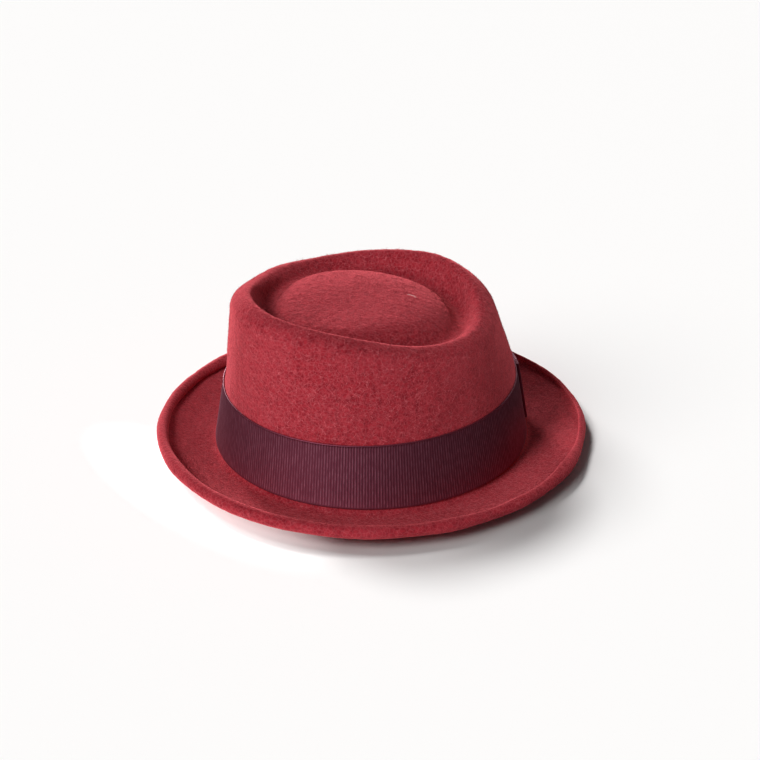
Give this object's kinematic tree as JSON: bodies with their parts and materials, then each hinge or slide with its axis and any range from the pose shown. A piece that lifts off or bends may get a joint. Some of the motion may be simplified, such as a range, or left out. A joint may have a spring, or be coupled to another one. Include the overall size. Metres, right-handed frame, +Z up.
{
  "type": "pork pie hat",
  "caption": "Felt hat with a low crown dished inside a raised teardrop crest, a short brim with a rolled edge, and a ribbon band with a flat bow.",
  "frame": {"origin": "middle of the footprint, on the surface that the hat rests on", "axes": "+Z up, -Y to the front of the hat, +X to the wearer's left"},
  "size_m": [0.2576, 0.264, 0.1115],
  "materials": {
    "wool_felt": "brushed wool felt, matte, with a short nap and a fine darker and lighter mottle",
    "grosgrain_ribbon": "woven grosgrain with fine upright ribs and a slight sheen"
  },
  "bodies": {
    "root": {"felt_body": "wool_felt", "ribbon_band": "grosgrain_ribbon", "bow_loops": "grosgrain_ribbon", "bow_knot": "grosgrain_ribbon"}
  },
  "joints": []
}
